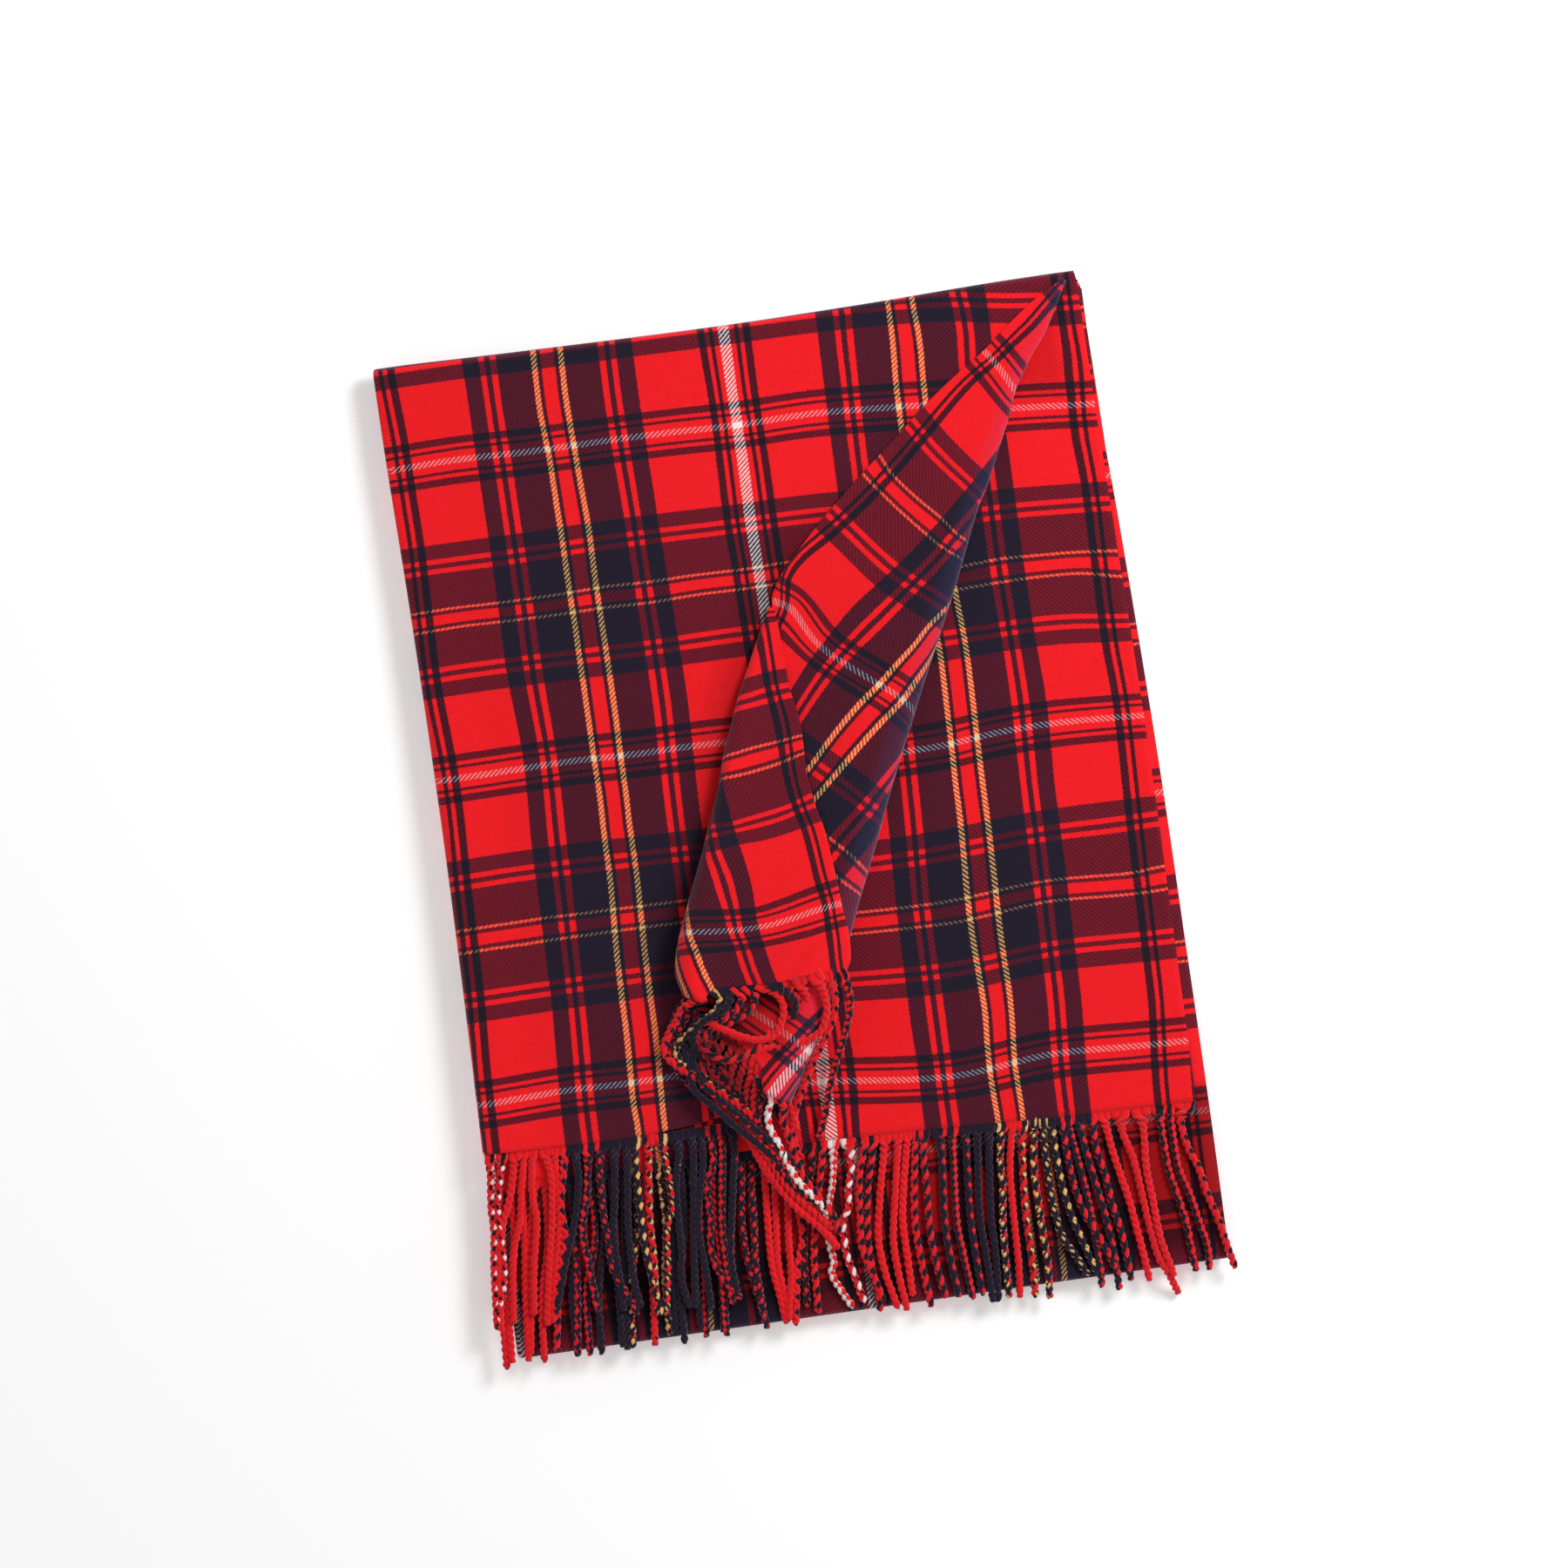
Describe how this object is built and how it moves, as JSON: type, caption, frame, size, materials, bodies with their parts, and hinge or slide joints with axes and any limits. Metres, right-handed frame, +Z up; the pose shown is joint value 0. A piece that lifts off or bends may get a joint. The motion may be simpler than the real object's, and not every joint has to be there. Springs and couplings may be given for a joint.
{
  "type": "folded tartan blanket scarf",
  "caption": "Tartan blanket scarf with twisted fringe, folded into a flat stack, the free corner of its top ply turned back in a soft roll.",
  "frame": {"origin": "centre of the bounding box's bottom face, on the surface that the folded scarf lies on", "axes": "+Z up, +Y towards the folded top edge, +X towards the selvedges on the right, all for the scarf seen from above with its fringe at the bottom"},
  "size_m": [0.372, 0.5132, 0.041],
  "materials": {
    "scarf_cloth": "brushed twill woven in a red, navy, white and yellow tartan, matt with a soft nap",
    "hidden_layers": "the same brushed tartan twill, seen at the edges of the folded stack",
    "scarf_fringe": "twisted two-strand tassels in the colours of the warp, matt"
  },
  "bodies": {
    "root": {"folded_layers": "hidden_layers", "under_panel": "scarf_cloth", "front_panel": "scarf_cloth", "turned_back_flap": "scarf_cloth", "turned_over_corner": "scarf_cloth", "front_fringe": "scarf_fringe", "under_fringe": "scarf_fringe", "flap_fringe": "scarf_fringe", "corner_fringe": "scarf_fringe"}
  },
  "joints": []
}
